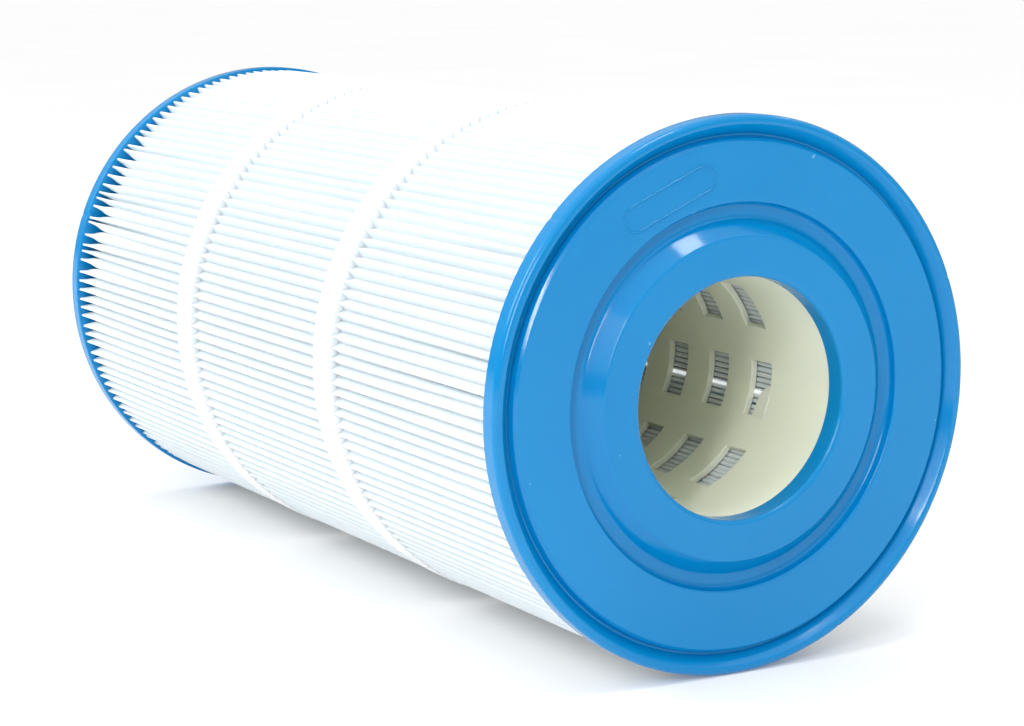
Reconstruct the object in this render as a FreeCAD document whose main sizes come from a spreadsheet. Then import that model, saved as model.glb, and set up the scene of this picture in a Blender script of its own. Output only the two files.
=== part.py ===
import FreeCAD, Part
import math
import os
import Sketcher

# A pleated pool and spa filter cartridge lying on its side.
# The cartridge's axis is the Y axis, with the front cap towards -Y and +Z up.
# The origin is half way along the axis. All sizes are in millimetres.

doc = FreeCAD.newDocument("FilterCartridge")
sheet = doc.addObject("Spreadsheet::Sheet", "Sizes")

# alias, value, what it is
SIZES = [
    ("face_gap", 450.8, "flat face of one cap to flat face of the other"),
    ("cap_radius", 113.5, "outside radius of both end caps"),
    ("cap_depth", 7.6, "cap's back face to its flat face"),
    ("boss_rise", 3.2, "how far the middle boss stands proud of the flat face"),
    ("bore_radius", 49.2, "radius of the open hole through each cap"),
    ("lining_step", 1.0, "how far the bore lining stops short of the back face"),
    ("lining_seat", 51.5, "radius where the lining's step meets the core wall"),
    ("boss_radius", 65.7, "outer edge of the boss's flat top"),
    ("slope_radius", 72.3, "foot of the boss's 45 degree slope"),
    ("inner_groove_radius", 78.6, "outer wall of the groove round the boss"),
    ("groove_depth", 4.2, "depth of the groove round the boss"),
    ("rim_groove_lip", 103.2, "outer edge of the flat annulus"),
    ("rim_groove_foot", 104.0, "foot of the rim groove's inner wall"),
    ("rim_groove_outer", 105.6, "outer edge of the rim groove's floor"),
    ("rim_groove_depth", 4.0, "depth of the rim groove"),
    ("bead_radius", 109.9, "inner edge of the rim bead's crest"),
    ("bead_rise", 1.5, "how far the rim bead stands proud of the flat face"),
    ("edge_round", 0.5, "small rounds on the cap"),
    ("step_round", 0.8, "rounds on the edges of the flats"),
    ("lip_round", 1.9, "round at the mouth of the bore"),
    ("groove_round", 2.0, "hollow rounds at the foot of the boss groove"),
    ("rim_round", 2.4, "round over the rim bead"),
    ("panel_length", 45.7, "raised outline of the blank panel, end to end"),
    ("panel_width", 11.2, "raised outline of the blank panel, side to side"),
    ("panel_line", 0.8, "width of the raised line"),
    ("panel_rise", 0.35, "height of the raised line"),
    ("panel_across", -33.9, "panel's centre, across from the axis"),
    ("panel_up", 81.6, "panel's centre, up from the axis"),
    ("panel_tilt", 24.0, "panel's long side from level, in degrees"),
    ("core_inner", 50.0, "inside radius of the core tube"),
    ("core_outer", 53.0, "outside radius of the core tube"),
    ("core_embed", 4.5, "how far the core tube goes into each cap"),
    ("slot_width", 14.4, "slot along the tube"),
    ("slot_length", 24.0, "slot round the tube, as a chord"),
    ("slot_start", 55.2, "first ring of slots, from the front flat face"),
    ("slot_pitch", 31.8, "spacing of the rings of slots"),
    ("slot_rings", 12, "number of rings of slots"),
    ("slots_round", 8, "slots in one ring"),
    ("slot_turn", -10.0, "angle of the first slot above level, in degrees"),
    ("pleat_count", 144, "folds in the media"),
    ("pleat_tip", 112.2, "radius of the pleat tips"),
    ("pleat_root", 53.6, "radius of the folds next to the core"),
    ("media_thick", 0.6, "thickness of the folded sheet"),
    ("tip_land", 2.0, "width of the rounded-over fold at a tip"),
    ("root_land", 0.58, "width of the valley between folds at the core"),
    ("media_embed", 2.5, "how far the pleats go into each cap"),
    ("seam_width", 1.8, "width of the side seam"),
    ("seam_turn", -12.0, "angle of the side seam above level, in degrees"),
    ("band_thick", 0.6, "thickness of the bands"),
    ("band_width", 15.5, "width of the bands"),
    ("front_band_at", 151.5, "middle of the front band, from the front flat face"),
    ("rear_band_at", 302.5, "middle of the rear band, from the front flat face"),
]
value = {}
for row, (alias, size, note) in enumerate(SIZES, start=1):
    sheet.set("A%d" % row, alias)
    sheet.set("B%d" % row, str(size))
    sheet.set("C%d" % row, note)
    sheet.setAlias("B%d" % row, alias)
    value[alias] = size
doc.recompute()


def cell(alias):
    return "<<Sizes>>." + alias


sheet.Label = "Sizes"


def new_body(name):
    body = doc.addObject("PartDesign::Body", name)
    body.Label = name
    return body


def origin_plane(body, role):
    for item in body.Origin.OriginFeatures:
        if item.Role == role:
            return item
    raise ValueError("no such plane: " + role)


def new_sketch(body, role, name):
    sketch = body.newObject("Sketcher::SketchObject", name)
    sketch.AttachmentSupport = [(origin_plane(body, role), "")]
    sketch.MapMode = "FlatFace"
    return sketch


def bound(sketch, constraint, expression):
    """Add a constraint and tie its value to an expression on the sizes."""
    index = sketch.addConstraint(constraint)
    sketch.setExpression("Constraints[%d]" % index, expression)
    return index


def ring_profile(body, name, corners):
    """A closed outline in the XZ plane. Each corner is (x, y, x expression, y expression)."""
    sketch = new_sketch(body, "XZ_Plane", name)
    count = len(corners)
    for i in range(count):
        start = FreeCAD.Vector(corners[i][0], corners[i][1], 0)
        end = FreeCAD.Vector(corners[(i + 1) % count][0], corners[(i + 1) % count][1], 0)
        sketch.addGeometry(Part.LineSegment(start, end), False)
    for i in range(count):
        sketch.addConstraint(Sketcher.Constraint("Coincident", i, 2, (i + 1) % count, 1))
    for i, (x, y, x_size, y_size) in enumerate(corners):
        bound(sketch, Sketcher.Constraint("DistanceX", -1, 1, i, 1, x), x_size)
        if y_size is None:
            sketch.addConstraint(Sketcher.Constraint("PointOnObject", i, 1, -1))
        else:
            bound(sketch, Sketcher.Constraint("DistanceY", -1, 1, i, 1, y), y_size)
    return sketch


def revolve(body, sketch, name):
    feature = body.newObject("PartDesign::Revolution", name)
    feature.Profile = sketch
    feature.ReferenceAxis = (sketch, ["V_Axis"])
    feature.Angle = 360.0
    body.Tip = feature
    doc.recompute()
    return feature


def round_edges(body, name, radius, spots):
    """Round the circular edges that lie at the given (radius, height) spots."""
    base = body.Tip
    found = []
    for number, edge in enumerate(base.Shape.Edges, start=1):
        if not isinstance(edge.Curve, Part.Circle):
            continue
        for spot_radius, spot_height in spots:
            same_radius = abs(edge.Curve.Radius - spot_radius) < 0.02
            same_height = abs(edge.Curve.Center.z - spot_height) < 0.02
            if same_radius and same_height:
                found.append("Edge%d" % number)
    feature = body.newObject("PartDesign::Fillet", name)
    feature.Base = (base, found)
    feature.setExpression("Radius", cell(radius))
    body.Tip = feature
    doc.recompute()
    return feature


def build_cap(prefix):
    """An end cap in its own frame: back face at height 0, outside of the cap towards +Z."""
    v = value
    body = new_body(prefix + "_blank")
    flat = v["cap_depth"]
    top = flat + v["boss_rise"]
    groove = flat - v["groove_depth"]
    rim_groove = flat - v["rim_groove_depth"]
    flat_e = cell("cap_depth")
    bead = flat + v["bead_rise"]
    top_e = flat_e + " + " + cell("boss_rise")
    bead_e = flat_e + " + " + cell("bead_rise")
    groove_e = flat_e + " - " + cell("groove_depth")
    rim_groove_e = flat_e + " - " + cell("rim_groove_depth")
    outline = [
        (v["bore_radius"], v["lining_step"], cell("bore_radius"), cell("lining_step")),
        (v["lining_seat"], v["lining_step"], cell("lining_seat"), cell("lining_step")),
        (v["lining_seat"], 0.0, cell("lining_seat"), None),
        (v["cap_radius"], 0.0, cell("cap_radius"), None),
        (v["cap_radius"], bead, cell("cap_radius"), bead_e),
        (v["bead_radius"], bead, cell("bead_radius"), bead_e),
        (v["rim_groove_outer"], rim_groove, cell("rim_groove_outer"), rim_groove_e),
        (v["rim_groove_foot"], rim_groove, cell("rim_groove_foot"), rim_groove_e),
        (v["rim_groove_lip"], flat, cell("rim_groove_lip"), flat_e),
        (v["inner_groove_radius"], flat, cell("inner_groove_radius"), flat_e),
        (v["inner_groove_radius"], groove, cell("inner_groove_radius"), groove_e),
        (v["slope_radius"], groove, cell("slope_radius"), groove_e),
        (v["boss_radius"], top, cell("boss_radius"), top_e),
        (v["bore_radius"], top, cell("bore_radius"), top_e),
    ]
    sketch = ring_profile(body, prefix + "_outline", outline)
    revolve(body, sketch, prefix + "_turned")
    round_edges(body, prefix + "_rim_round", "rim_round", [(v["cap_radius"], bead)])
    round_edges(body, prefix + "_lip_round", "lip_round", [(v["bore_radius"], top)])
    round_edges(body, prefix + "_groove_round", "groove_round",
                [(v["inner_groove_radius"], groove), (v["slope_radius"], groove)])
    round_edges(body, prefix + "_step_round", "step_round",
                [(v["bead_radius"], bead), (v["rim_groove_lip"], flat),
                 (v["inner_groove_radius"], flat), (v["boss_radius"], top)])
    round_edges(body, prefix + "_edge_round", "edge_round",
                [(v["cap_radius"], 0.0), (v["rim_groove_foot"], rim_groove),
                 (v["rim_groove_outer"], rim_groove)])
    return body


def obround(sketch, half_run, end_radius):
    """A round-ended slot shape about the sketch's origin, along its X axis."""
    z = FreeCAD.Vector(0, 0, 1)
    first = sketch.GeometryCount
    left = FreeCAD.Vector(-half_run, 0, 0)
    right = FreeCAD.Vector(half_run, 0, 0)
    up = FreeCAD.Vector(0, end_radius, 0)
    sketch.addGeometry(Part.LineSegment(left + up, right + up), False)
    sketch.addGeometry(Part.ArcOfCircle(Part.Circle(right, z, end_radius),
                                        -math.pi / 2, math.pi / 2), False)
    sketch.addGeometry(Part.LineSegment(right - up, left - up), False)
    sketch.addGeometry(Part.ArcOfCircle(Part.Circle(left, z, end_radius),
                                        math.pi / 2, 3 * math.pi / 2), False)
    sketch.addConstraint(Sketcher.Constraint("Tangent", first, 2, first + 1, 2))
    sketch.addConstraint(Sketcher.Constraint("Tangent", first + 1, 1, first + 2, 1))
    sketch.addConstraint(Sketcher.Constraint("Tangent", first + 2, 2, first + 3, 2))
    sketch.addConstraint(Sketcher.Constraint("Tangent", first + 3, 1, first, 1))
    sketch.addConstraint(Sketcher.Constraint("PointOnObject", first + 1, 3, -1))
    sketch.addConstraint(Sketcher.Constraint("Symmetric", first + 1, 3, first + 3, 3, -1, 1))
    return first


def add_panel(body):
    """The thin raised outline of a blank, round-ended panel on the cap's flat annulus."""
    v = value
    sketch = new_sketch(body, "XY_Plane", "panel_outline")
    place = FreeCAD.Placement(
        FreeCAD.Vector(v["panel_across"], v["panel_up"], v["cap_depth"] - 0.2),
        FreeCAD.Rotation(FreeCAD.Vector(0, 0, 1), v["panel_tilt"]))
    sketch.AttachmentOffset = place
    sketch.setExpression("AttachmentOffset.Base.x", cell("panel_across"))
    sketch.setExpression("AttachmentOffset.Base.y", cell("panel_up"))
    sketch.setExpression("AttachmentOffset.Base.z", cell("cap_depth") + " - 0.2")
    sketch.setExpression("AttachmentOffset.Rotation.Angle", cell("panel_tilt"))
    outer = v["panel_width"] / 2
    inner = outer - v["panel_line"]
    half_run = v["panel_length"] / 2 - outer
    half_run_e = "(%s - %s) / 2" % (cell("panel_length"), cell("panel_width"))
    for radius, radius_e in ((outer, cell("panel_width") + " / 2"),
                             (inner, "%s / 2 - %s" % (cell("panel_width"), cell("panel_line")))):
        first = obround(sketch, half_run, radius)
        bound(sketch, Sketcher.Constraint("Radius", first + 1, radius), radius_e)
        bound(sketch, Sketcher.Constraint("DistanceX", -1, 1, first + 1, 3, half_run), half_run_e)
    pad = body.newObject("PartDesign::Pad", "panel_line")
    pad.Profile = sketch
    pad.setExpression("Length", cell("panel_rise") + " + 0.2")
    body.Tip = pad
    doc.recompute()


def build_core():
    """The slotted core tube in its own frame: one end at height 0, the tube along +Z."""
    v = value
    body = new_body("core_tube")
    length = v["face_gap"] - 2 * (v["cap_depth"] - v["core_embed"])
    length_e = "%s - 2 * (%s - %s)" % (cell("face_gap"), cell("cap_depth"), cell("core_embed"))
    outline = [
        (v["core_inner"], 0.0, cell("core_inner"), None),
        (v["core_outer"], 0.0, cell("core_outer"), None),
        (v["core_outer"], length, cell("core_outer"), length_e),
        (v["core_inner"], length, cell("core_inner"), length_e),
    ]
    revolve(body, ring_profile(body, "core_wall", outline), "core_turned")
    first_slot = v["slot_start"] - (v["cap_depth"] - v["core_embed"])
    sketch = new_sketch(body, "YZ_Plane", "slot_outline")
    half_length = v["slot_length"] / 2
    half_width = v["slot_width"] / 2
    corners = [(-half_length, first_slot - half_width), (half_length, first_slot - half_width),
               (half_length, first_slot + half_width), (-half_length, first_slot + half_width)]
    for i in range(4):
        start = FreeCAD.Vector(corners[i][0], corners[i][1], 0)
        end = FreeCAD.Vector(corners[(i + 1) % 4][0], corners[(i + 1) % 4][1], 0)
        sketch.addGeometry(Part.LineSegment(start, end), False)
    for i in range(4):
        sketch.addConstraint(Sketcher.Constraint("Coincident", i, 2, (i + 1) % 4, 1))
    sketch.addConstraint(Sketcher.Constraint("Horizontal", 2))
    sketch.addConstraint(Sketcher.Constraint("Vertical", 1))
    sketch.addConstraint(Sketcher.Constraint("Symmetric", 0, 1, 0, 2, -2))
    bound(sketch, Sketcher.Constraint("DistanceX", 0, 1, 0, 2, v["slot_length"]),
          cell("slot_length"))
    bound(sketch, Sketcher.Constraint("DistanceY", 1, 1, 1, 2, v["slot_width"]),
          cell("slot_width"))
    bound(sketch, Sketcher.Constraint("DistanceY", -1, 1, 0, 1, first_slot - half_width),
          "%s - (%s - %s) - %s / 2" % (cell("slot_start"), cell("cap_depth"),
                                       cell("core_embed"), cell("slot_width")))
    slot = body.newObject("PartDesign::Pocket", "one_slot")
    slot.Profile = sketch
    slot.setExpression("Length", cell("core_outer") + " + 1")
    slot.Reversed = True
    body.Tip = slot
    doc.recompute()
    pattern = body.newObject("PartDesign::MultiTransform", "all_slots")
    pattern.Originals = [slot]
    rings = body.newObject("PartDesign::LinearPattern", "slot_rings")
    rings.Direction = (sketch, ["V_Axis"])
    rings.setExpression("Length", "(%s - 1) * %s" % (cell("slot_rings"), cell("slot_pitch")))
    rings.setExpression("Occurrences", cell("slot_rings"))
    turns = body.newObject("PartDesign::PolarPattern", "slots_round")
    turns.Axis = (sketch, ["V_Axis"])
    turns.Angle = 360.0
    turns.setExpression("Occurrences", cell("slots_round"))
    pattern.Transformations = [rings, turns]
    body.Tip = pattern
    doc.recompute()
    return body


def polar(radius, angle):
    return FreeCAD.Vector(radius * math.cos(angle), radius * math.sin(angle), 0)


def pleated_sheet(length):
    """The folded sheet as a prism along +Z, a constant thickness all the way round."""
    v = value
    thick = v["media_thick"]
    half_pitch = math.pi / v["pleat_count"]
    tip = v["pleat_tip"]
    root = v["pleat_root"]
    outside = []
    inside = []
    for i in range(int(v["pleat_count"])):
        middle = 2 * half_pitch * i
        valley = middle + half_pitch
        tip_out = v["tip_land"] / 2 / tip
        tip_in = (v["tip_land"] / 2 - thick) / (tip - thick)
        root_out = v["root_land"] / 2 / (root + thick)
        root_in = (v["root_land"] / 2 + thick) / root
        outside += [polar(tip, middle - tip_out), polar(tip, middle + tip_out),
                    polar(root + thick, valley - root_out), polar(root + thick, valley + root_out)]
        inside += [polar(tip - thick, middle - tip_in), polar(tip - thick, middle + tip_in),
                   polar(root, valley - root_in), polar(root, valley + root_in)]
    outer_wire = Part.makePolygon(outside + outside[:1])
    inner_wire = Part.makePolygon(inside + inside[:1])
    face = Part.makeFace([outer_wire, inner_wire], "Part::FaceMakerBullseye")
    return face.extrude(FreeCAD.Vector(0, 0, length))


def feature(name, shape):
    item = doc.addObject("Part::Feature", name)
    item.Label = name
    item.Shape = shape
    return item


def tube(name, inner_e, outer_e, length_e):
    """A plain ring along +Z made from two cylinders."""
    outer = doc.addObject("Part::Cylinder", name + "_outside")
    outer.setExpression("Radius", outer_e)
    outer.setExpression("Height", length_e)
    inner = doc.addObject("Part::Cylinder", name + "_inside")
    inner.setExpression("Radius", inner_e)
    inner.setExpression("Height", length_e)
    ring = doc.addObject("Part::Cut", name)
    ring.Label = name
    ring.Base = outer
    ring.Tool = inner
    return ring


front_face = -value["face_gap"] / 2
rear_face = value["face_gap"] / 2
x_axis = FreeCAD.Vector(1, 0, 0)
y_axis = FreeCAD.Vector(0, 1, 0)
z_axis = FreeCAD.Vector(0, 0, 1)
# Turns a piece built along +Z so that it runs along +Y, with its own X axis left where it is.
along_y = FreeCAD.Rotation(x_axis, -90)
# Turns a cap built to face +Z so that it faces -Y, with its own Y axis pointing up.
facing_front = FreeCAD.Rotation(x_axis, 90)


def at_y(y, rotation):
    return FreeCAD.Placement(FreeCAD.Vector(0, y, 0), rotation)


# The folded media runs into both caps by the same amount.
media_length = value["face_gap"] - 2 * (value["cap_depth"] - value["media_embed"])
media = feature("pleated_media", pleated_sheet(media_length))
media.Placement = at_y(-media_length / 2, along_y)

core = build_core()
core_length = value["face_gap"] - 2 * (value["cap_depth"] - value["core_embed"])
# A slot is cut on the tube's own +X side, and turning the tube sets the first slot's angle.
core.Placement = at_y(-core_length / 2, along_y.multiply(
    FreeCAD.Rotation(z_axis, -value["slot_turn"])))

# The side seam is a narrow strip between the core tube and the folds.
seam_gap = value["pleat_root"] - value["core_outer"]
seam = doc.addObject("Part::Box", "media_seam")
seam.Label = "media_seam"
seam.setExpression("Length", "%s - %s" % (cell("pleat_root"), cell("core_outer")))
seam.setExpression("Width", cell("seam_width"))
seam.setExpression("Height", "%s - 2 * %s" % (cell("face_gap"), cell("cap_depth")))
seam_turn = along_y.multiply(FreeCAD.Rotation(z_axis, -value["seam_turn"]))
seam_corner = seam_turn.multVec(FreeCAD.Vector(value["core_outer"], -value["seam_width"] / 2, 0))
seam_start = front_face + value["cap_depth"]
seam.Placement = FreeCAD.Placement(seam_corner + FreeCAD.Vector(0, seam_start, 0), seam_turn)

bands = []
for name, place in (("front_band", "front_band_at"), ("rear_band", "rear_band_at")):
    band = tube(name, cell("pleat_tip"), cell("pleat_tip") + " + " + cell("band_thick"),
                cell("band_width"))
    band.Placement = at_y(front_face + value[place] - value["band_width"] / 2, along_y)
    bands.append(band)

# Each cap is cast round the ends of the pleats and the core, so those shapes are cut from it.
front_blank = build_cap("front_cap")
add_panel(front_blank)
front_blank.Placement = at_y(front_face + value["cap_depth"], facing_front)
rear_blank = build_cap("rear_cap")
rear_blank.Placement = at_y(rear_face - value["cap_depth"], along_y)
doc.recompute()

ends = doc.addObject("Part::Compound", "cast_in_ends")
ends.Links = [media, core]
caps = []
for name, blank in (("front_end_cap", front_blank), ("rear_end_cap", rear_blank)):
    cap = doc.addObject("Part::Cut", name)
    cap.Label = name
    cap.Base = blank
    cap.Tool = ends
    caps.append(cap)
doc.recompute()

nodes = caps + [core, media, seam] + bands
for item in doc.Objects:
    if "Invalid" in item.State or "Error" in item.State:
        raise RuntimeError("%s did not compute: %s" % (item.Name, item.State))
for node in nodes:
    if node.Shape.isNull() or not node.Shape.isValid():
        raise RuntimeError(node.Label + " has no valid shape")

os.makedirs("parts", exist_ok=True)
for node in nodes:
    node.Shape.exportStep("parts/%s.step" % node.Label)
    box = node.Shape.BoundBox
    print("%-15s solids %d volume %.1f cm3 y %.2f to %.2f" % (
        node.Label, len(node.Shape.Solids), node.Shape.Volume / 1000, box.YMin, box.YMax))
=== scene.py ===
import math

import bpy
import numpy as np
from mathutils import Matrix, Vector


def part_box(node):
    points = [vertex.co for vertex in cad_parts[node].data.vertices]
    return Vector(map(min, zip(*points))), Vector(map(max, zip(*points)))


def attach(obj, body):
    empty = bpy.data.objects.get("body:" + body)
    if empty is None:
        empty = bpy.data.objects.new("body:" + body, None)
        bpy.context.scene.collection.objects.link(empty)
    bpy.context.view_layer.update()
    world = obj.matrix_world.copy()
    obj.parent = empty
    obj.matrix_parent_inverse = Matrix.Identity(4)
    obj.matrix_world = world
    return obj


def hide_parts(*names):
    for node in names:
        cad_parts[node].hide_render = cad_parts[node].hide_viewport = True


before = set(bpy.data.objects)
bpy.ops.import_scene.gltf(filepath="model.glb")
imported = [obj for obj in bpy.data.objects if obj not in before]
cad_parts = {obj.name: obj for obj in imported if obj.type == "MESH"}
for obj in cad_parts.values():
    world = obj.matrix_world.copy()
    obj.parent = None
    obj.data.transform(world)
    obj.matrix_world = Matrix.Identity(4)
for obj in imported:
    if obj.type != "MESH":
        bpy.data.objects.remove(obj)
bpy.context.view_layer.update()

# The cartridge lies along Y. The front cap faces -Y, and +Z is up.
# Sizes are in metres. The lengths come from the nodes' own boxes, and the radii repeat the
# CAD's, apart from the outer groove's bevel.
MM = 0.001
CORE_LOW, CORE_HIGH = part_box("core_tube")
MEDIA_LOW, MEDIA_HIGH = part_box("pleated_media")
CAP_LOW, CAP_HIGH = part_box("front_end_cap")
REAR_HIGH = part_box("rear_end_cap")[1]
BOSS_RISE = 3.2 * MM
FRONT_FACE = CAP_LOW[1] + BOSS_RISE
REAR_FACE = REAR_HIGH[1] - BOSS_RISE
RIM = CAP_HIGH[0]
CAP_DEPTH = CAP_HIGH[1] - FRONT_FACE

random_numbers = np.random.default_rng(7)


# ---------------------------------------------------------------- meshes

def make_object(name, verts, faces, sharp_degrees=35):
    mesh = bpy.data.meshes.new(name)
    mesh.from_pydata([tuple(v) for v in verts], [], [tuple(f) for f in faces])
    mesh.validate()
    mesh.polygons.foreach_set("use_smooth", [True] * len(mesh.polygons))
    mesh.set_sharp_from_angle(angle=math.radians(sharp_degrees))
    mesh.update()
    obj = bpy.data.objects.new(name, mesh)
    bpy.context.scene.collection.objects.link(obj)
    return obj


def grid_faces(rows, columns, close_rows=False, close_columns=False):
    """Quads over a rows x columns grid of points stored row by row."""
    row_count = rows if close_rows else rows - 1
    column_count = columns if close_columns else columns - 1
    r = np.arange(row_count)[:, None]
    c = np.arange(column_count)[None, :]
    r2 = (r + 1) % rows
    c2 = (c + 1) % columns
    a = r * columns + c
    b = r * columns + c2
    d = r2 * columns + c2
    e = r2 * columns + c
    return np.stack([a, b, d, e], axis=-1).reshape(-1, 4).tolist()


def rounded_outline(corners, steps=10):
    """Points of a closed outline with each corner (a, b, radius) rounded over."""
    points = []
    count = len(corners)
    for i in range(count):
        before = Vector(corners[i - 1][:2])
        here = Vector(corners[i][:2])
        after = Vector(corners[(i + 1) % count][:2])
        radius = corners[i][2]
        to_before = (before - here).normalized()
        to_after = (after - here).normalized()
        if radius <= 0:
            points.append(here)
            continue
        angle = to_before.angle(to_after)
        reach = radius / math.tan(angle / 2)
        centre = here + (to_before + to_after).normalized() * (radius / math.sin(angle / 2))
        start = here + to_before * reach - centre
        end = here + to_after * reach - centre
        turn = start.angle_signed(end)
        for k in range(steps + 1):
            points.append(centre + Matrix.Rotation(-turn * k / steps, 2) @ start)
    return points


def split_long_edges(points, longest):
    """Adds points along the straight runs, so that the surface can be roughened evenly."""
    out = []
    for i, start in enumerate(points):
        end = points[(i + 1) % len(points)]
        pieces = max(1, int(math.ceil((end - start).length / longest)))
        for k in range(pieces):
            out.append(start.lerp(end, k / pieces))
    return out


# ---------------------------------------------------------------- end caps

def cap_outline():
    """The cap's cross-section as (radius, height out of the cap), back face at height 0."""
    flat = CAP_DEPTH / MM
    top = flat + BOSS_RISE / MM
    corners = [
        (49.2, 1.0, 0.3), (51.5, 1.0, 0), (51.5, 0.0, 0), (113.5, 0.0, 0.5),
        (113.5, flat + 1.5, 2.5), (109.9, flat + 1.5, 1.4), (105.6, flat - 4.0, 0.5),
        (104.9, flat - 4.0, 0.2), (103.9, flat - 1.1, 0.4), (102.7, flat, 0.3),
        (78.6, flat, 0.9),
        (78.6, flat - 4.2, 2.4), (72.3, flat - 4.2, 2.4), (65.7, top, 1.1),
        (49.2, top, 1.9),
    ]
    points = rounded_outline([(r * MM, h * MM, k * MM) for r, h, k in corners])
    return split_long_edges(points, 2.0 * MM)


def rim_nicks(angle, radius, nicks):
    """How far the rim is knocked in at each point by small nicks (angle, width, depth)."""
    dent = np.zeros_like(angle * radius)
    near_rim = np.clip((radius - 111.0 * MM) / (1.5 * MM), 0, 1)
    for place, width, depth in nicks:
        away = (angle - math.radians(place) + math.pi) % (2 * math.pi) - math.pi
        dent += depth * np.exp(-(away * RIM / width) ** 2) * near_rim
    return dent


def turned_cap(name, facing, nicks, seed):
    """A cast cap turned about the axis. facing is -1 for the front cap and +1 for the rear."""
    outline = cap_outline()
    radius = np.array([p[0] for p in outline])
    height = np.array([p[1] for p in outline])
    segments = 720
    turn = np.linspace(0, 2 * math.pi, segments, endpoint=False)
    # A casting is never quite flat or round: a slow, very shallow wave goes round each face.
    waves = np.random.default_rng(seed).uniform(0, 2 * math.pi, 4)
    wobble = sum(0.03 * MM / (k + 1) * np.sin((k + 2) * turn + waves[k]) for k in range(4))
    # The faces are set in by this much, so that the wave never passes the nominal height.
    room = 0.06 * MM
    out_of_cap = np.clip(height / CAP_DEPTH, 0, 1)
    rr = radius[None, :] - rim_nicks(turn[:, None], radius[None, :], nicks)
    hh = height[None, :] + (wobble[:, None] - room) * out_of_cap[None, :]
    back = FRONT_FACE + CAP_DEPTH if facing < 0 else REAR_FACE - CAP_DEPTH
    x = rr * np.cos(turn)[:, None]
    z = rr * np.sin(turn)[:, None]
    y = back + facing * hh
    verts = np.stack([x, y, z], axis=-1).reshape(-1, 3)
    faces = grid_faces(segments, len(outline), close_rows=True, close_columns=True)
    if facing < 0:
        faces = [f[::-1] for f in faces]
    return make_object(name, verts, faces, 50)


def raised_panel(name):
    """The thin raised outline of the blank panel, with a soft rounded section."""
    middle_x, middle_z = -33.9 * MM, 81.6 * MM
    length, width, line = 45.7 * MM, 11.2 * MM, 0.9 * MM
    tilt = math.radians(24.0)
    end_radius = width / 2 - line / 2
    half_run = length / 2 - width / 2
    path = []
    for side in (1, -1):
        for k in range(33):
            a = -math.pi / 2 + math.pi * k / 32
            centre = Vector((half_run * side, 0))
            spoke = Vector((math.cos(a), math.sin(a))) * side
            path.append((centre + spoke * end_radius, spoke))
    section = [(-0.5, -0.30), (-0.5, 0.0), (-0.34, 0.20), (-0.12, 0.30),
               (0.12, 0.30), (0.34, 0.20), (0.5, 0.0), (0.5, -0.30)]
    verts = []
    across = Vector((math.cos(tilt), math.sin(tilt)))
    up = Vector((-math.sin(tilt), math.cos(tilt)))
    for point, spoke in path:
        for s, h in section:
            flat = point + spoke * (s * line)
            place = across * flat[0] + up * flat[1]
            verts.append((place[0] + middle_x, FRONT_FACE - h * MM, place[1] + middle_z))
    faces = grid_faces(len(path), len(section), close_rows=True, close_columns=True)
    return make_object(name, verts, faces, 60)


front_cap = turned_cap("front_end_cap_casting", -1,
                       [(137.7, 0.9 * MM, 0.35 * MM), (22.0, 0.8 * MM, 0.25 * MM),
                        (-63.0, 1.0 * MM, 0.3 * MM), (-118.0, 0.7 * MM, 0.2 * MM)], 3)
panel = raised_panel("front_end_cap_panel_outline")
rear_cap = turned_cap("rear_end_cap_casting", 1,
                      [(160.0, 0.9 * MM, 0.3 * MM), (-35.0, 0.8 * MM, 0.25 * MM)], 5)


# ---------------------------------------------------------------- core tube

CORE_IN, CORE_OUT = 50.0 * MM, 53.0 * MM
SLOT_WIDE, SLOT_PITCH, SLOT_START, SLOT_RINGS = 14.4 * MM, 31.8 * MM, 55.2 * MM, 12
SLOTS_ROUND, SLOT_TURN = 8, -10.0
SLOT_HALF_LENGTH = 12.0 * MM
SLOT_HALF_ANGLE = math.asin(SLOT_HALF_LENGTH / ((CORE_IN + CORE_OUT) / 2))


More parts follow.
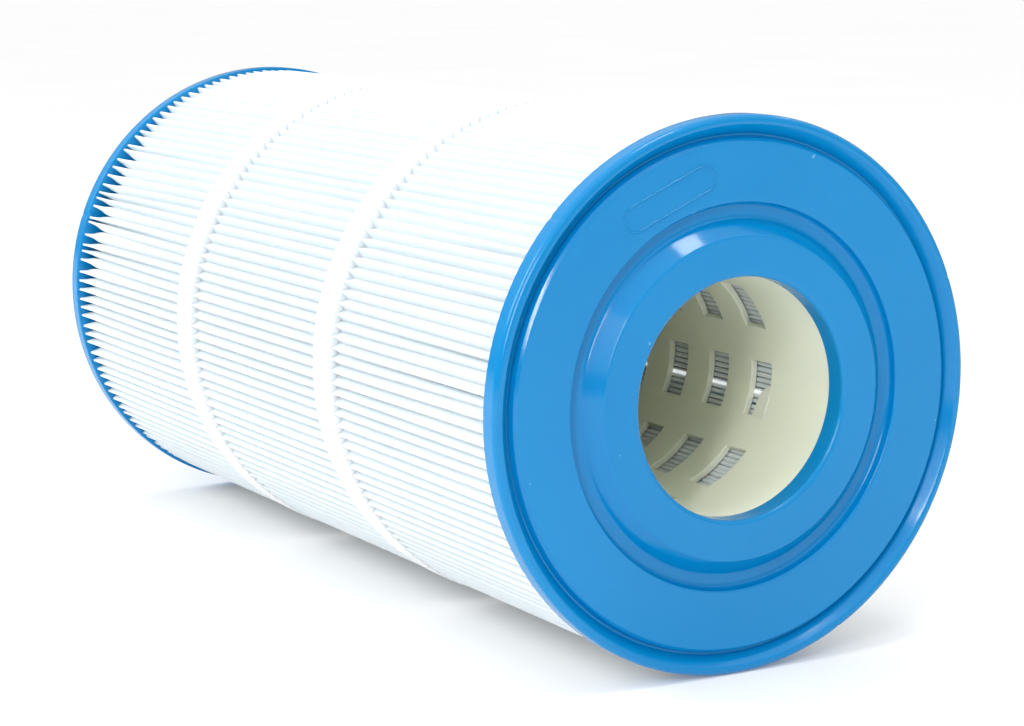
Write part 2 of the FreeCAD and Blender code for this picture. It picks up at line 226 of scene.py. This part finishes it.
def slotted_core(name):
    """The tube as a skin of small faces with the slots left open and given side walls."""
    # How many faces cross each gap and each slot, along the tube and round it.
    gap_rows, slot_rows, gap_columns, slot_columns = 6, 4, 8, 12
    y_lines = [CORE_LOW[1]]
    slot_y = []
    for ring in range(SLOT_RINGS):
        middle = FRONT_FACE + SLOT_START + ring * SLOT_PITCH
        start, end = middle - SLOT_WIDE / 2, middle + SLOT_WIDE / 2
        y_lines += list(np.linspace(y_lines[-1], start, gap_rows + 1)[1:])
        slot_y.append((len(y_lines) - 1, len(y_lines) - 1 + slot_rows))
        y_lines += list(np.linspace(start, end, slot_rows + 1)[1:])
    y_lines += list(np.linspace(y_lines[-1], CORE_HIGH[1], gap_rows + 1)[1:])
    angles = []
    slot_a = []
    pitch = 2 * math.pi / SLOTS_ROUND
    for k in range(SLOTS_ROUND):
        middle = math.radians(SLOT_TURN) + k * pitch
        start, end = middle - SLOT_HALF_ANGLE, middle + SLOT_HALF_ANGLE
        slot_a.append((len(angles), len(angles) + slot_columns))
        angles += list(np.linspace(start, end, slot_columns + 1))
        angles += list(np.linspace(end, start + pitch, gap_columns + 1)[1:-1])
    y_lines, angles = np.array(y_lines), np.array(angles)
    rows, columns = len(y_lines), len(angles)
    open_face = np.zeros((rows - 1, columns), bool)
    for y0, y1 in slot_y:
        for a0, a1 in slot_a:
            open_face[y0:y1, a0:a1] = True
    verts, faces = [], []
    for radius in (CORE_OUT, CORE_IN):
        ring = np.stack([radius * np.cos(angles), np.zeros(columns), radius * np.sin(angles)], -1)
        for y in y_lines:
            verts.append(ring + np.array([0, y, 0]))
    verts = np.concatenate(verts)
    inner = rows * columns

    def at(r, c):
        return r * columns + c % columns

    for r in range(rows - 1):
        for c in range(columns):
            if open_face[r, c]:
                continue
            a, b, d, e = at(r, c), at(r, c + 1), at(r + 1, c + 1), at(r + 1, c)
            faces.append((a, e, d, b))
            faces.append((a + inner, b + inner, d + inner, e + inner))
            if open_face[r, (c + 1) % columns]:
                faces.append((b, d, d + inner, b + inner))
            if open_face[r, (c - 1) % columns]:
                faces.append((e, a, a + inner, e + inner))
            if r == 0 or open_face[r - 1, c]:
                faces.append((a, b, b + inner, a + inner))
            if r == rows - 2 or open_face[r + 1, c]:
                faces.append((d, e, e + inner, d + inner))
    obj = make_object(name, verts, faces, 40)
    bevel = obj.modifiers.new("softened_edges", "BEVEL")
    bevel.width = 0.35 * MM
    bevel.segments = 2
    bevel.limit_method = "ANGLE"
    bevel.angle_limit = math.radians(50)
    return obj


def flash_web(name):
    """A skin of moulding flash left across one corner of a slot, seen from the front mouth."""
    outline = [(47.5, -7.8), (51.0, -8.6), (52.8, -10.4), (54.6, -12.4),
               (55.3, -18.0), (55.9, -24.6), (47.5, -24.6)]
    verts = []
    for radius in (50.05 * MM, 51.0 * MM):
        for along, turn in outline:
            a = math.radians(turn)
            verts.append((radius * math.cos(a), FRONT_FACE + along * MM, radius * math.sin(a)))
    n = len(outline)
    faces = [tuple(range(n))[::-1], tuple(range(n, 2 * n))]
    faces += [(i, (i + 1) % n, n + (i + 1) % n, n + i) for i in range(n)]
    return make_object(name, verts, faces, 30)


core = slotted_core("core_tube_moulded")
flash = flash_web("core_tube_flash")


# ---------------------------------------------------------------- pleated media

PLEATS = 144
TIP, ROOT, THICK = 112.1 * MM, 53.6 * MM, 0.6 * MM
PLEAT_STEP = 2 * math.pi / PLEATS
BAND_MIDDLES = [(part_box(n)[0][1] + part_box(n)[1][1]) / 2 for n in ("front_band", "rear_band")]


def smooth_step(t):
    t = np.clip(t, 0, 1)
    return t * t * (3 - 2 * t)


def open_out(t):
    t = np.clip(t, 0, 1)
    return 1 - (1 - t) ** 2.4


def pleat_stations():
    """Places along Y: close together by the caps and the bands, and further apart between."""
    low, high = MEDIA_LOW[1], MEDIA_HIGH[1]
    ends = np.cumsum(np.linspace(0.8, 3.2, 20)) * MM
    ends = np.concatenate([[0.0], ends])
    middle = np.linspace(low + ends[-1], high - ends[-1], 48)[1:-1]
    beside = np.array([-18, -13, -9.5, -7.7, -4, 4, 7.7, 9.5, 13, 18]) * MM
    by_bands = np.concatenate([m + beside for m in BAND_MIDDLES])
    every = np.concatenate([low + ends, middle, by_bands, high - ends])
    return np.unique(np.round(every, 5))


def pleat_lines(stations):
    """Angle of each fold's ridge at each station. Folds are set unevenly in the caps."""
    spread = random_numbers.normal(0, 0.13, (3, PLEATS))
    odd = random_numbers.random((2, PLEATS)) < 0.05
    spread[:2] += odd * random_numbers.choice([-0.32, 0.32], (2, PLEATS))
    spread[2] *= 0.45
    t = (stations - stations[0]) / (stations[-1] - stations[0])
    front = (1 - smooth_step(t / 0.3))[:, None]
    rear = smooth_step((t - 0.7) / 0.3)[:, None]
    lean = front * spread[0] + rear * spread[1] + (1 - front - rear) * spread[2]
    return PLEAT_STEP * (np.arange(PLEATS)[None, :] + np.clip(lean, -0.42, 0.42))


def folded_media(name):
    """The folded sheet as one closed skin: its outside face, its inside face and cut ends."""
    stations = pleat_stations()
    rows = len(stations)
    ridge = pleat_lines(stations)
    before = np.concatenate([ridge[:, -1:] - 2 * math.pi, ridge[:, :-1]], axis=1)
    after = np.concatenate([ridge[:, 1:], ridge[:, :1] + 2 * math.pi], axis=1)
    left = (ridge - before) / 2
    right = (after - ridge) / 2
    from_front = stations - (FRONT_FACE + CAP_DEPTH)
    from_rear = (REAR_FACE - CAP_DEPTH) - stations
    # By a cap each fold is pinched to a crease, and it opens out over this length.
    opening = random_numbers.uniform([[3], [20]], [[6], [27]], (2, PLEATS)) * MM
    spread = np.minimum(open_out(from_front[:, None] / opening[0]),
                        open_out(from_rear[:, None] / opening[1]))
    # The bands' welds draw the ridges in a little, which opens the valleys beside them.
    drawn = np.zeros_like(spread)
    for middle in BAND_MIDDLES:
        reach = random_numbers.uniform(14, 24, PLEATS) * MM
        drawn = np.maximum(drawn, 1 - smooth_step(np.abs(stations - middle)[:, None] / reach))
    # Between the bands the ridges are rounded over, and meet in rounded valleys this deep.
    arch = 4.2 * MM
    shares = [0, 0.02, 0.07, 0.16, 0.28, 0.42, 0.57, 0.72, 0.85, 0.94, 1.0]
    depth = np.concatenate([np.array(shares) * arch, np.array([7, 11, 20, 36]) * MM])
    sharpness = 1.0 + 0.7 * drawn
    # Half the space left between two folds at the top, and at the foot by the core.
    top_gap, foot_gap = 0.03 * MM, 0.29 * MM
    # Half a fold's width where it is creased, and at its very ridge between the bands.
    crease, ridge_line = 0.55 * MM, 0.12 * MM
    foot = ROOT + THICK

    def half_widths(side, d, radius):
        """Half the fold's width at each depth, by the caps (creased) and between (rounded)."""
        share = d / (TIP - foot)
        creased = crease + (side * foot - foot_gap - crease) * share
        full = side * radius - top_gap
        round_over = (np.arccos(1 - 2 * min(d / arch, 1)) / math.pi) ** sharpness
        rounded = np.maximum(full * round_over, ridge_line)
        narrowing = foot_gap / (side * foot)
        rounded = rounded * (1 - narrowing * np.clip(share - 0.2, 0, 1))
        return creased * (1 - spread) + np.minimum(rounded, full) * spread

    paths = []
    sunk = 0.12 * MM * random_numbers.normal(0, 1, (1, PLEATS)).clip(-2, 0)
    for sign, side in ((-1, left), (1, right)):
        for d in depth[::-1] if sign < 0 else depth[1:]:
            radius = TIP - d + sunk * (d < 3 * MM)
            width = half_widths(side, d, radius) if d > 0 else 0
            paths.append((radius, ridge + sign * width / radius))
    outer = [(foot, ridge - (left - foot_gap / foot))] + paths
    outer.append((foot, ridge + (right - foot_gap / foot)))

    # The inside face: up one wall of a fold, over, down the other, and across the web
    # by the core to the next fold. Its corners at the web are cut off by this much.
    corner, flare = 0.25 * MM, 0.1 * MM / ROOT
    web = (foot_gap + THICK) / ROOT
    root_left = ridge - (left - web)
    root_right = ridge + (right - web)
    wall_foot = ROOT + 1.4 * MM
    wall_top = TIP - THICK * 1.6 - 4 * MM
    tip_half = (0.25 * MM + spread * 0.9 * MM) / wall_top
    inner = [(ROOT + corner, root_left), (wall_foot, root_left + flare),
             (wall_top, ridge - tip_half), (wall_top, ridge + tip_half),
             (wall_foot, root_right - flare), (ROOT + corner, root_right),
             (ROOT, root_right + corner / ROOT), (ROOT, root_right + 2 * web - corner / ROOT)]

    def loop(parts):
        radius = np.stack([r + 0 * ridge for r, _ in parts], axis=-1)
        angle = np.stack([a for _, a in parts], axis=-1)
        y = np.broadcast_to(stations[:, None, None], radius.shape)
        points = np.stack([radius * np.cos(angle), y, radius * np.sin(angle)], axis=-1)
        return points.reshape(rows, -1, 3)

    outside, inside = loop(outer), loop(inner)
    outer_count, inner_count = outside.shape[1], inside.shape[1]
    verts = np.concatenate([outside.reshape(-1, 3), inside.reshape(-1, 3)])
    faces = [f[::-1] for f in grid_faces(rows, outer_count, close_columns=True)]
    base = rows * outer_count
    faces += [[base + k for k in f] for f in grid_faces(rows, inner_count, close_columns=True)]
    # The cut ends of the sheet join each fold's outside line to its inside line.
    per_out, per_in = len(outer), len(inner)
    half = per_out // 2
    for row, flip in ((0, False), (rows - 1, True)):
        first_out, first_in = row * outer_count, base + row * inner_count
        for i in range(PLEATS):
            following = (i + 1) % PLEATS
            o = [first_out + i * per_out + k for k in range(per_out)]
            n = [first_in + i * per_in + k for k in range(per_in)]
            next_out = first_out + following * per_out
            next_in = first_in + following * per_in
            pieces = [o[:half + 1] + [n[2], n[1], n[0]], [o[half], n[3], n[2]],
                      o[half:] + [n[5], n[4], n[3]],
                      [o[-1], next_out, next_in, n[7], n[6], n[5]]]
            for piece in pieces:
                faces.append(piece if flip else piece[::-1])
    return make_object(name, verts, faces, 75)


media = folded_media("pleated_media_folds")


# ---------------------------------------------------------------- seam and bands

def side_seam(name):
    """The joined edges of the sheet: a narrow strip facing the core, slightly wavy."""
    place = math.radians(-12.0)
    steps = 160
    stations = np.linspace(FRONT_FACE + CAP_DEPTH, REAR_FACE - CAP_DEPTH, steps)
    wave = random_numbers.normal(0, 1, 12)
    t = np.linspace(0, 2 * math.pi, steps)
    sway = sum(wave[k] * np.sin((k + 1) * t + wave[k - 1]) for k in range(6)) * 0.05 * MM
    section = [(53.02, -0.55), (53.02, 0.55), (53.12, 0.7), (53.5, 0.7), (53.6, 0.55),
               (53.6, -0.55), (53.5, -0.7), (53.12, -0.7)]
    verts = []
    for y, s in zip(stations, sway):
        for r, across in section:
            a = place + (across * MM + s) / CORE_OUT
            verts.append((r * MM * math.cos(a), y, r * MM * math.sin(a)))
    count = len(section)
    faces = grid_faces(steps, count, close_columns=True)
    faces.append(list(range(count)))
    faces.append([(steps - 1) * count + k for k in range(count)][::-1])
    return make_object(name, verts, faces, 60)


def tip_band(name, node, seed):
    """A band of white tape round the ridges. Its bonding bead fills the valleys' tops."""
    low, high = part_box(node)
    rng = np.random.default_rng(seed)
    turns = PLEATS * 8
    a = np.linspace(0, 2 * math.pi, turns, endpoint=False)
    edge = sum(rng.normal(0, 0.10) * np.sin((k + 3) * a + rng.uniform(0, 6)) for k in range(9))
    dip = 0.35 * (0.5 - 0.5 * np.cos(a * PLEATS)) ** 2
    bead = -4.3
    section = [(bead, 0.03), (0.00, 0.0), (0.35, 0.0), (0.5, 0.03), (0.58, 0.2), (0.6, 0.5),
               (0.58, 0.8), (0.5, 0.97), (0.35, 1.0), (0.00, 1.0), (bead, 0.97), (bead, 0.5)]
    verts = []
    for angle, wander, sag in zip(a, edge, dip):
        for lift, across in section:
            radius = TIP + (lift - (sag if lift >= 0 else 0) - 0.05) * MM
            y = low[1] + (high[1] - low[1]) * across + wander * MM * 0.4
            verts.append((radius * math.cos(angle), y, radius * math.sin(angle)))
    faces = grid_faces(turns, len(section), close_rows=True, close_columns=True)
    return make_object(name, verts, faces, 60)


seam = side_seam("media_side_seam")
front_band = tip_band("front_band_tape", "front_band", 11)
rear_band = tip_band("rear_band_tape", "rear_band", 12)


# ---------------------------------------------------------------- materials

def new_material(name):
    material = bpy.data.materials.new(name)
    material.use_nodes = True
    nodes = material.node_tree.nodes
    shader = nodes["Principled BSDF"]
    return material, nodes, material.node_tree.links, shader


def noise(nodes, links, scale, detail=3.0, stretch=None):
    """A noise texture in object space; scale is per metre."""
    where = nodes.new("ShaderNodeTexCoord")
    texture = nodes.new("ShaderNodeTexNoise")
    texture.inputs["Scale"].default_value = scale
    texture.inputs["Detail"].default_value = detail
    source = where.outputs["Object"]
    if stretch:
        mapping = nodes.new("ShaderNodeMapping")
        mapping.inputs["Scale"].default_value = stretch
        links.new(source, mapping.inputs["Vector"])
        source = mapping.outputs["Vector"]
    links.new(source, texture.inputs["Vector"])
    return texture


def ramp(nodes, links, source, stops):
    item = nodes.new("ShaderNodeValToRGB")
    elements = item.color_ramp.elements
    while len(elements) < len(stops):
        elements.new(0.5)
    for element, (place, colour) in zip(elements, stops):
        element.position = place
        element.color = (*colour, 1.0)
    links.new(source, item.inputs["Fac"])
    return item.outputs["Color"]


def grey(v):
    return (v, v, v)


def add_bump(nodes, links, shader, layers):
    """Chains bump nodes. Each layer is (height output, distance in metres, strength)."""
    normal = None
    for height, distance, strength in layers:
        bump = nodes.new("ShaderNodeBump")
        bump.inputs["Distance"].default_value = distance
        bump.inputs["Strength"].default_value = strength
        links.new(height, bump.inputs["Height"])
        if normal:
            links.new(normal, bump.inputs["Normal"])
        normal = bump.outputs["Normal"]
    links.new(normal, shader.inputs["Normal"])


def cap_material():
    """Cast blue urethane: glossy, faintly uneven, with a few tiny pale flecks in it."""
    material, nodes, links, shader = new_material("cast_blue_urethane")
    cloud = noise(nodes, links, 9.0, 4.0)
    blue = ramp(nodes, links, cloud.outputs["Fac"],
                [(0.3, (0.000, 0.220, 0.525)), (0.7, (0.001, 0.240, 0.560))])
    flecks = ramp(nodes, links, noise(nodes, links, 300.0, 0.0).outputs["Fac"],
                  [(0.90, grey(0.0)), (0.925, grey(0.5))])
    mix = nodes.new("ShaderNodeMix")
    mix.data_type = "RGBA"
    mix.inputs["B"].default_value = (0.30, 0.55, 0.75, 1.0)
    links.new(flecks, mix.inputs["Factor"])
    links.new(blue, mix.inputs["A"])
    links.new(mix.outputs["Result"], shader.inputs["Base Color"])
    smear = noise(nodes, links, 60.0, 5.0)
    links.new(ramp(nodes, links, smear.outputs["Fac"],
                   [(0.3, grey(0.10)), (0.75, grey(0.19))]), shader.inputs["Roughness"])
    shader.inputs["IOR"].default_value = 1.46
    shader.inputs["Specular IOR Level"].default_value = 0.42
    shader.inputs["Subsurface Weight"].default_value = 0.12
    shader.inputs["Subsurface Radius"].default_value = (0.2, 0.6, 1.0)
    shader.inputs["Subsurface Scale"].default_value = 0.002
    ripple = noise(nodes, links, 38.0, 2.0)
    grain = noise(nodes, links, 700.0, 3.0)
    add_bump(nodes, links, shader, [(ripple.outputs["Fac"], 0.0006, 0.12),
                                    (grain.outputs["Fac"], 0.00006, 0.15)])
    return material


def core_material():
    """Moulded cream plastic, slightly see-through, with flow marks along the tube."""
    material, nodes, links, shader = new_material("moulded_cream_plastic")
    cloud = noise(nodes, links, 14.0, 3.0, (1, 0.25, 1))
    links.new(ramp(nodes, links, cloud.outputs["Fac"],
                   [(0.3, (0.88, 0.905, 0.73)), (0.7, (0.905, 0.93, 0.775))]),
              shader.inputs["Base Color"])
    links.new(ramp(nodes, links, noise(nodes, links, 90.0).outputs["Fac"],
                   [(0.3, grey(0.38)), (0.7, grey(0.5))]), shader.inputs["Roughness"])
    shader.inputs["Subsurface Weight"].default_value = 0.35
    shader.inputs["Subsurface Radius"].default_value = (1.0, 1.0, 0.6)
    shader.inputs["Subsurface Scale"].default_value = 0.003
    wave = noise(nodes, links, 60.0, 2.0, (1, 0.3, 1))
    grain = noise(nodes, links, 900.0, 2.0)
    add_bump(nodes, links, shader, [(wave.outputs["Fac"], 0.0004, 0.15),
                                    (grain.outputs["Fac"], 0.00005, 0.2)])
    return material


def media_material(name, low, high, fibre, strength):
    """Spun-bonded polyester: matt white cloth with fine matted fibres and a faint blot."""
    material, nodes, links, shader = new_material(name)
    cloud = noise(nodes, links, 40.0, 5.0)
    links.new(ramp(nodes, links, cloud.outputs["Fac"], [(0.3, low), (0.7, high)]),
              shader.inputs["Base Color"])
    shader.inputs["Roughness"].default_value = 0.85
    shader.inputs["Specular IOR Level"].default_value = 0.2
    shader.inputs["Sheen Weight"].default_value = 0.15
    shader.inputs["Sheen Roughness"].default_value = 0.5
    shader.inputs["Subsurface Weight"].default_value = 0.5
    shader.inputs["Subsurface Radius"].default_value = (0.75, 0.95, 1.0)
    shader.inputs["Subsurface Scale"].default_value = 0.0025
    fibres = noise(nodes, links, fibre, 4.0, (1, 0.35, 1))
    pucker = noise(nodes, links, 120.0, 2.0, (1, 0.15, 1))
    add_bump(nodes, links, shader, [(pucker.outputs["Fac"], 0.0006, strength),
                                    (fibres.outputs["Fac"], 0.00012, strength)])
    return material


cap_blue = cap_material()
cream = core_material()
cloth = media_material("spun_bonded_polyester", (0.73, 0.80, 0.84), (0.755, 0.82, 0.855),
                       1500.0, 0.35)
tape = media_material("welded_white_tape", (0.84, 0.865, 0.88), (0.86, 0.88, 0.89),
                      2200.0, 0.2)
strip = media_material("sealed_seam_strip", (0.92, 0.94, 0.95), (0.95, 0.96, 0.97),
                       1800.0, 0.2)
# Painted light: the strip is given a small glow (emission) so that it shows white even inside the
# shaded slots, though it is no lamp.
strip_shader = strip.node_tree.nodes["Principled BSDF"]
strip_shader.inputs["Emission Color"].default_value = (0.95, 0.97, 1.0, 1.0)
strip_shader.inputs["Emission Strength"].default_value = 0.55

PIECES = [
    (front_cap, "front_end_cap", "end_cap", cap_blue),
    (panel, "front_end_cap", "end_cap", cap_blue),
    (rear_cap, "rear_end_cap", "end_cap", cap_blue),
    (core, "core_tube", "core", cream),
    (flash, "core_tube", "core", cream),
    (media, "pleated_media", "media", cloth),
    (seam, "media_seam", "seam", strip),
    (front_band, "front_band", "band", tape),
    (rear_band, "rear_band", "band", tape),
]
for piece, node, finish, material in PIECES:
    piece.data.materials.append(material)
    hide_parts(node)
    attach(piece, "root")


# ---------------------------------------------------------------- floor, light, camera

def floor_sheet():
    """A plain pale floor that the cartridge's two rims rest on."""
    half = 40.0
    z = CAP_LOW[2] - 0.0002
    verts = [(-half, -half, z), (half, -half, z), (half, half, z), (-half, half, z)]
    obj = make_object("floor", verts, [(0, 1, 2, 3)])
    material, nodes, links, shader = new_material("pale_floor")
    links.new(ramp(nodes, links, noise(nodes, links, 3.0).outputs["Fac"],
                   [(0.3, grey(0.84)), (0.7, grey(0.86))]), shader.inputs["Base Color"])
    shader.inputs["Roughness"].default_value = 0.8
    shader.inputs["Specular IOR Level"].default_value = 0.1
    shader.inputs["Emission Color"].default_value = (1.0, 1.0, 1.0, 1.0)
    shader.inputs["Emission Strength"].default_value = 0.14
    obj.data.materials.append(material)
    return obj


def area_light(name, place, target, size, power):
    data = bpy.data.lights.new(name, "AREA")
    data.shape = "RECTANGLE"
    data.size, data.size_y = size
    data.energy = power
    obj = bpy.data.objects.new(name, data)
    obj.location = place
    obj.rotation_mode = "QUATERNION"
    obj.rotation_quaternion = (Vector(target) - Vector(place)).to_track_quat("-Z", "Y")
    bpy.context.scene.collection.objects.link(obj)


floor_sheet()

world = bpy.data.worlds.new("studio")
bpy.context.scene.world = world
world.use_nodes = True
world_nodes, world_links = world.node_tree.nodes, world.node_tree.links
background = world_nodes["Background"]
background.inputs["Color"].default_value = (1.0, 1.0, 1.0, 1.0)
# A white ceiling that fades towards the walls.
direction = world_nodes.new("ShaderNodeTexCoord")
parts = world_nodes.new("ShaderNodeSeparateXYZ")
fade = world_nodes.new("ShaderNodeMapRange")
fade.inputs["To Min"].default_value = 0.20
fade.inputs["To Max"].default_value = 1.40
world_links.new(direction.outputs["Generated"], parts.inputs["Vector"])
world_links.new(parts.outputs["Z"], fade.inputs["Value"])
world_links.new(fade.outputs["Result"], background.inputs["Strength"])

middle = (0.0, 0.0, 0.0)
area_light("top_softbox", (0.13, -0.50, 1.4), middle, (0.32, 0.22), 3.0)
area_light("left_back_softbox", (-1.4, 0.8, 1.0), middle, (0.5, 0.8), 12.0)
area_light("front_left_strip", (-1.48, -1.43, 0.88), middle, (0.14, 0.9), 13.0)
area_light("front_left_softbox", (-1.5, -1.5, 0.9), middle, (1.2, 1.2), 5.0)
area_light("right_spark", (1.4, -0.15, 1.45), middle, (0.08, 0.08), 0.8)

# The camera stands 30 degrees round to the left of the axis and looks a little downwards.
camera_data = bpy.data.cameras.new("camera")
camera_data.sensor_width = 36.0
camera_data.lens = 90.5
camera_data.clip_start = 0.05
camera_data.clip_end = 60.0
camera = bpy.data.objects.new("camera", camera_data)
camera.location = (-0.5845, FRONT_FACE - 0.8330, 0.1796)
azimuth, elevation = math.radians(29.93), math.radians(9.26)
forward = Vector((math.sin(azimuth) * math.cos(elevation),
                  math.cos(azimuth) * math.cos(elevation), -math.sin(elevation)))
camera.rotation_mode = "QUATERNION"
camera.rotation_quaternion = forward.to_track_quat("-Z", "Y")
bpy.context.scene.collection.objects.link(camera)
bpy.context.scene.camera = camera

view = bpy.context.scene.view_settings
view.view_transform = "Standard"
view.look = "None"
view.exposure = 0.0
